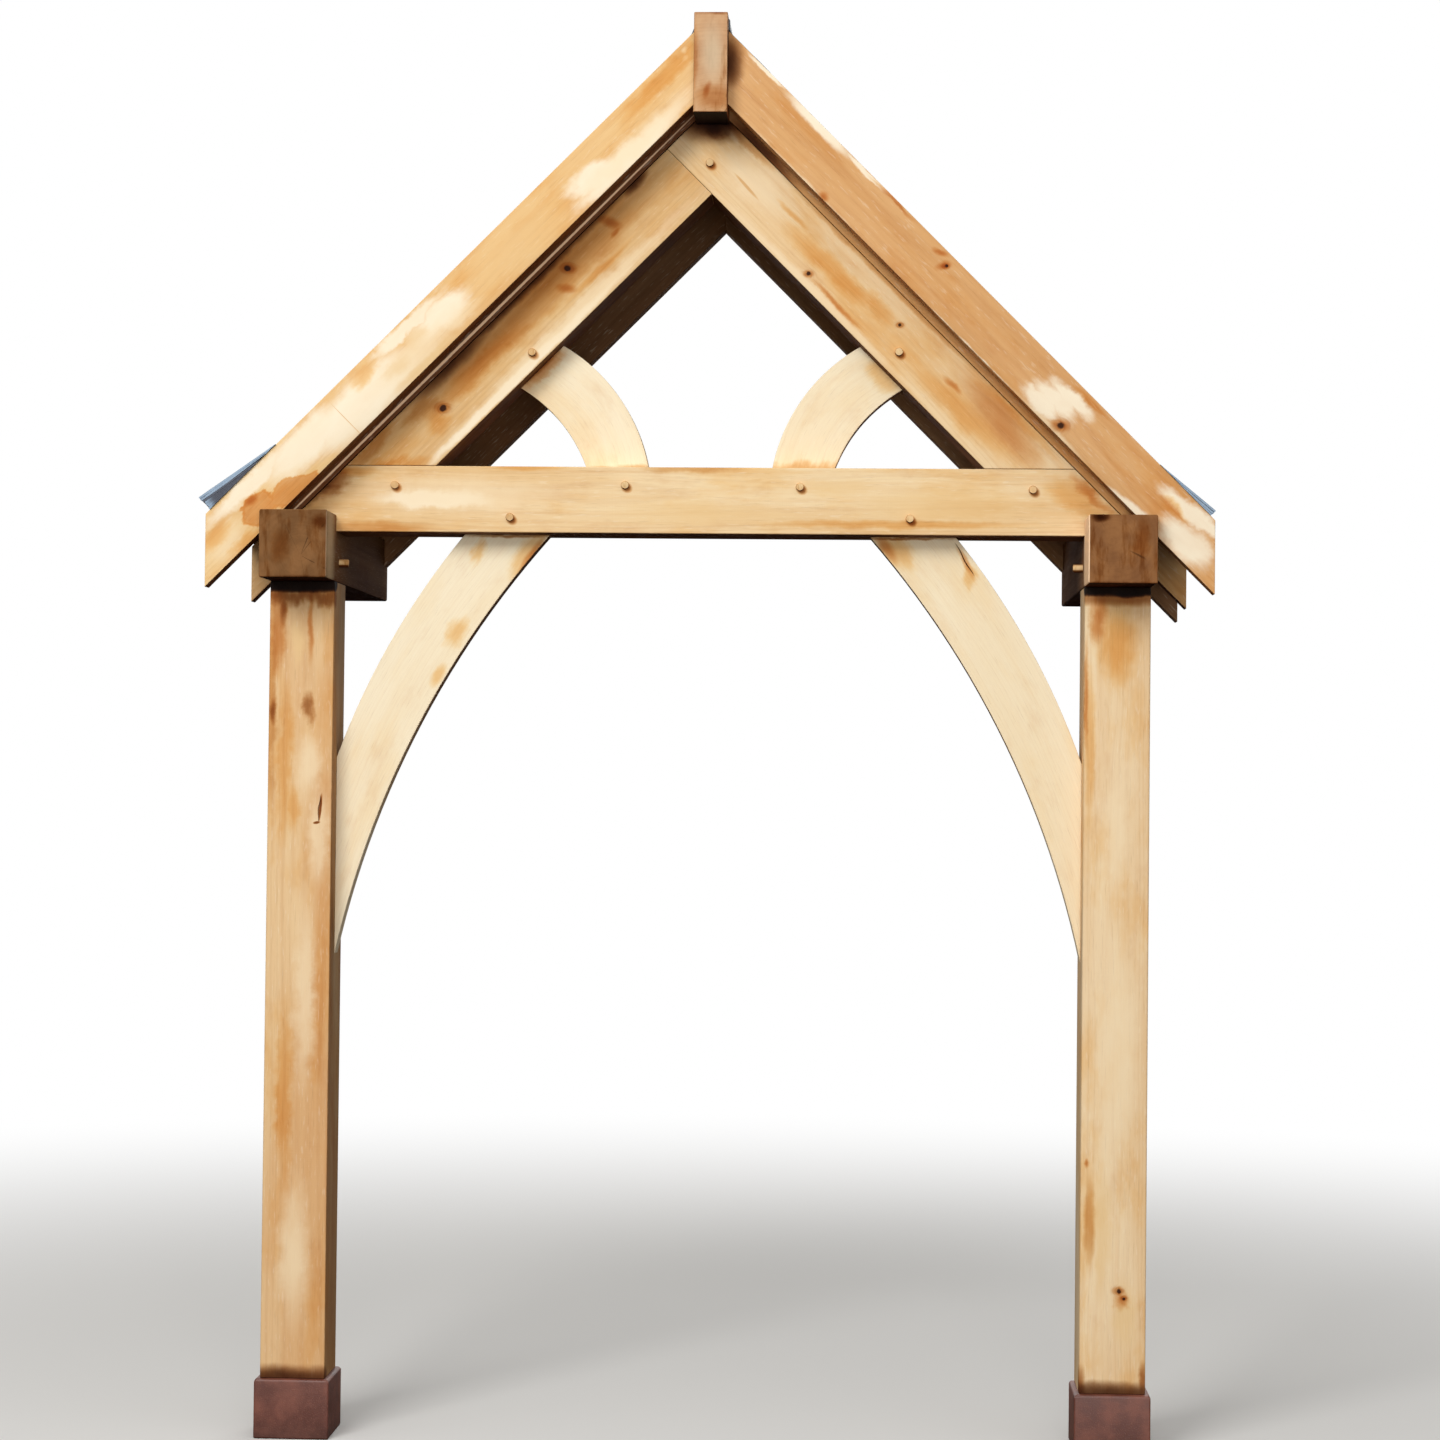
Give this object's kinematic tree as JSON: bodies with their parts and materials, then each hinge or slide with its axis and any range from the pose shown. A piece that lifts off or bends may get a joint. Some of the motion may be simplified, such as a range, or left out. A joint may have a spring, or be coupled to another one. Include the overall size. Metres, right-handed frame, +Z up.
{
  "type": "oak porch canopy on two posts",
  "caption": "Gabled porch canopy with a slated roof on a pegged oak frame: posts, wall plates, tie beam, curved braces and struts, fixed to a wall at the back",
  "frame": {"origin": "the middle of the ridge beam's end face, where it bears on the wall", "axes": "+X along the wall to the right as seen from outside, +Y into the wall, +Z up; the canopy projects towards -Y"},
  "size_m": [2.544, 0.985, 3.5841],
  "materials": {
    "frame_oak": "matte",
    "barge_oak": "matte",
    "rafter_oak": "matte",
    "boards": "matte",
    "slate": "matte",
    "lead": "matte",
    "base_block": "satin"
  },
  "bodies": {
    "root": {"barge_rafter_left": "barge_oak", "barge_rafter_right": "barge_oak", "base_block_left": "base_block", "base_block_right": "base_block", "curved_brace_left": "frame_oak", "curved_brace_right": "frame_oak", "curved_strut_left": "frame_oak", "curved_strut_right": "frame_oak", "eaves_fillet_left": "boards", "eaves_fillet_right": "boards", "front_rafter_left": "rafter_oak", "front_rafter_right": "rafter_oak", "middle_rafter_left": "rafter_oak", "middle_rafter_right": "rafter_oak", "post_left": "frame_oak", "post_right": "frame_oak", "principal_rafter_left": "frame_oak", "principal_rafter_right": "frame_oak", "ridge_beam": "frame_oak", "ridge_capping": "lead", "roof_boards_left": "boards", "roof_boards_right": "boards", "slates_left": "slate", "slates_right": "slate", "tie_beam": "frame_oak", "wall_plate_left": "frame_oak", "wall_plate_right": "frame_oak", "wall_rafter_left": "rafter_oak", "wall_rafter_right": "rafter_oak"}
  },
  "joints": []
}
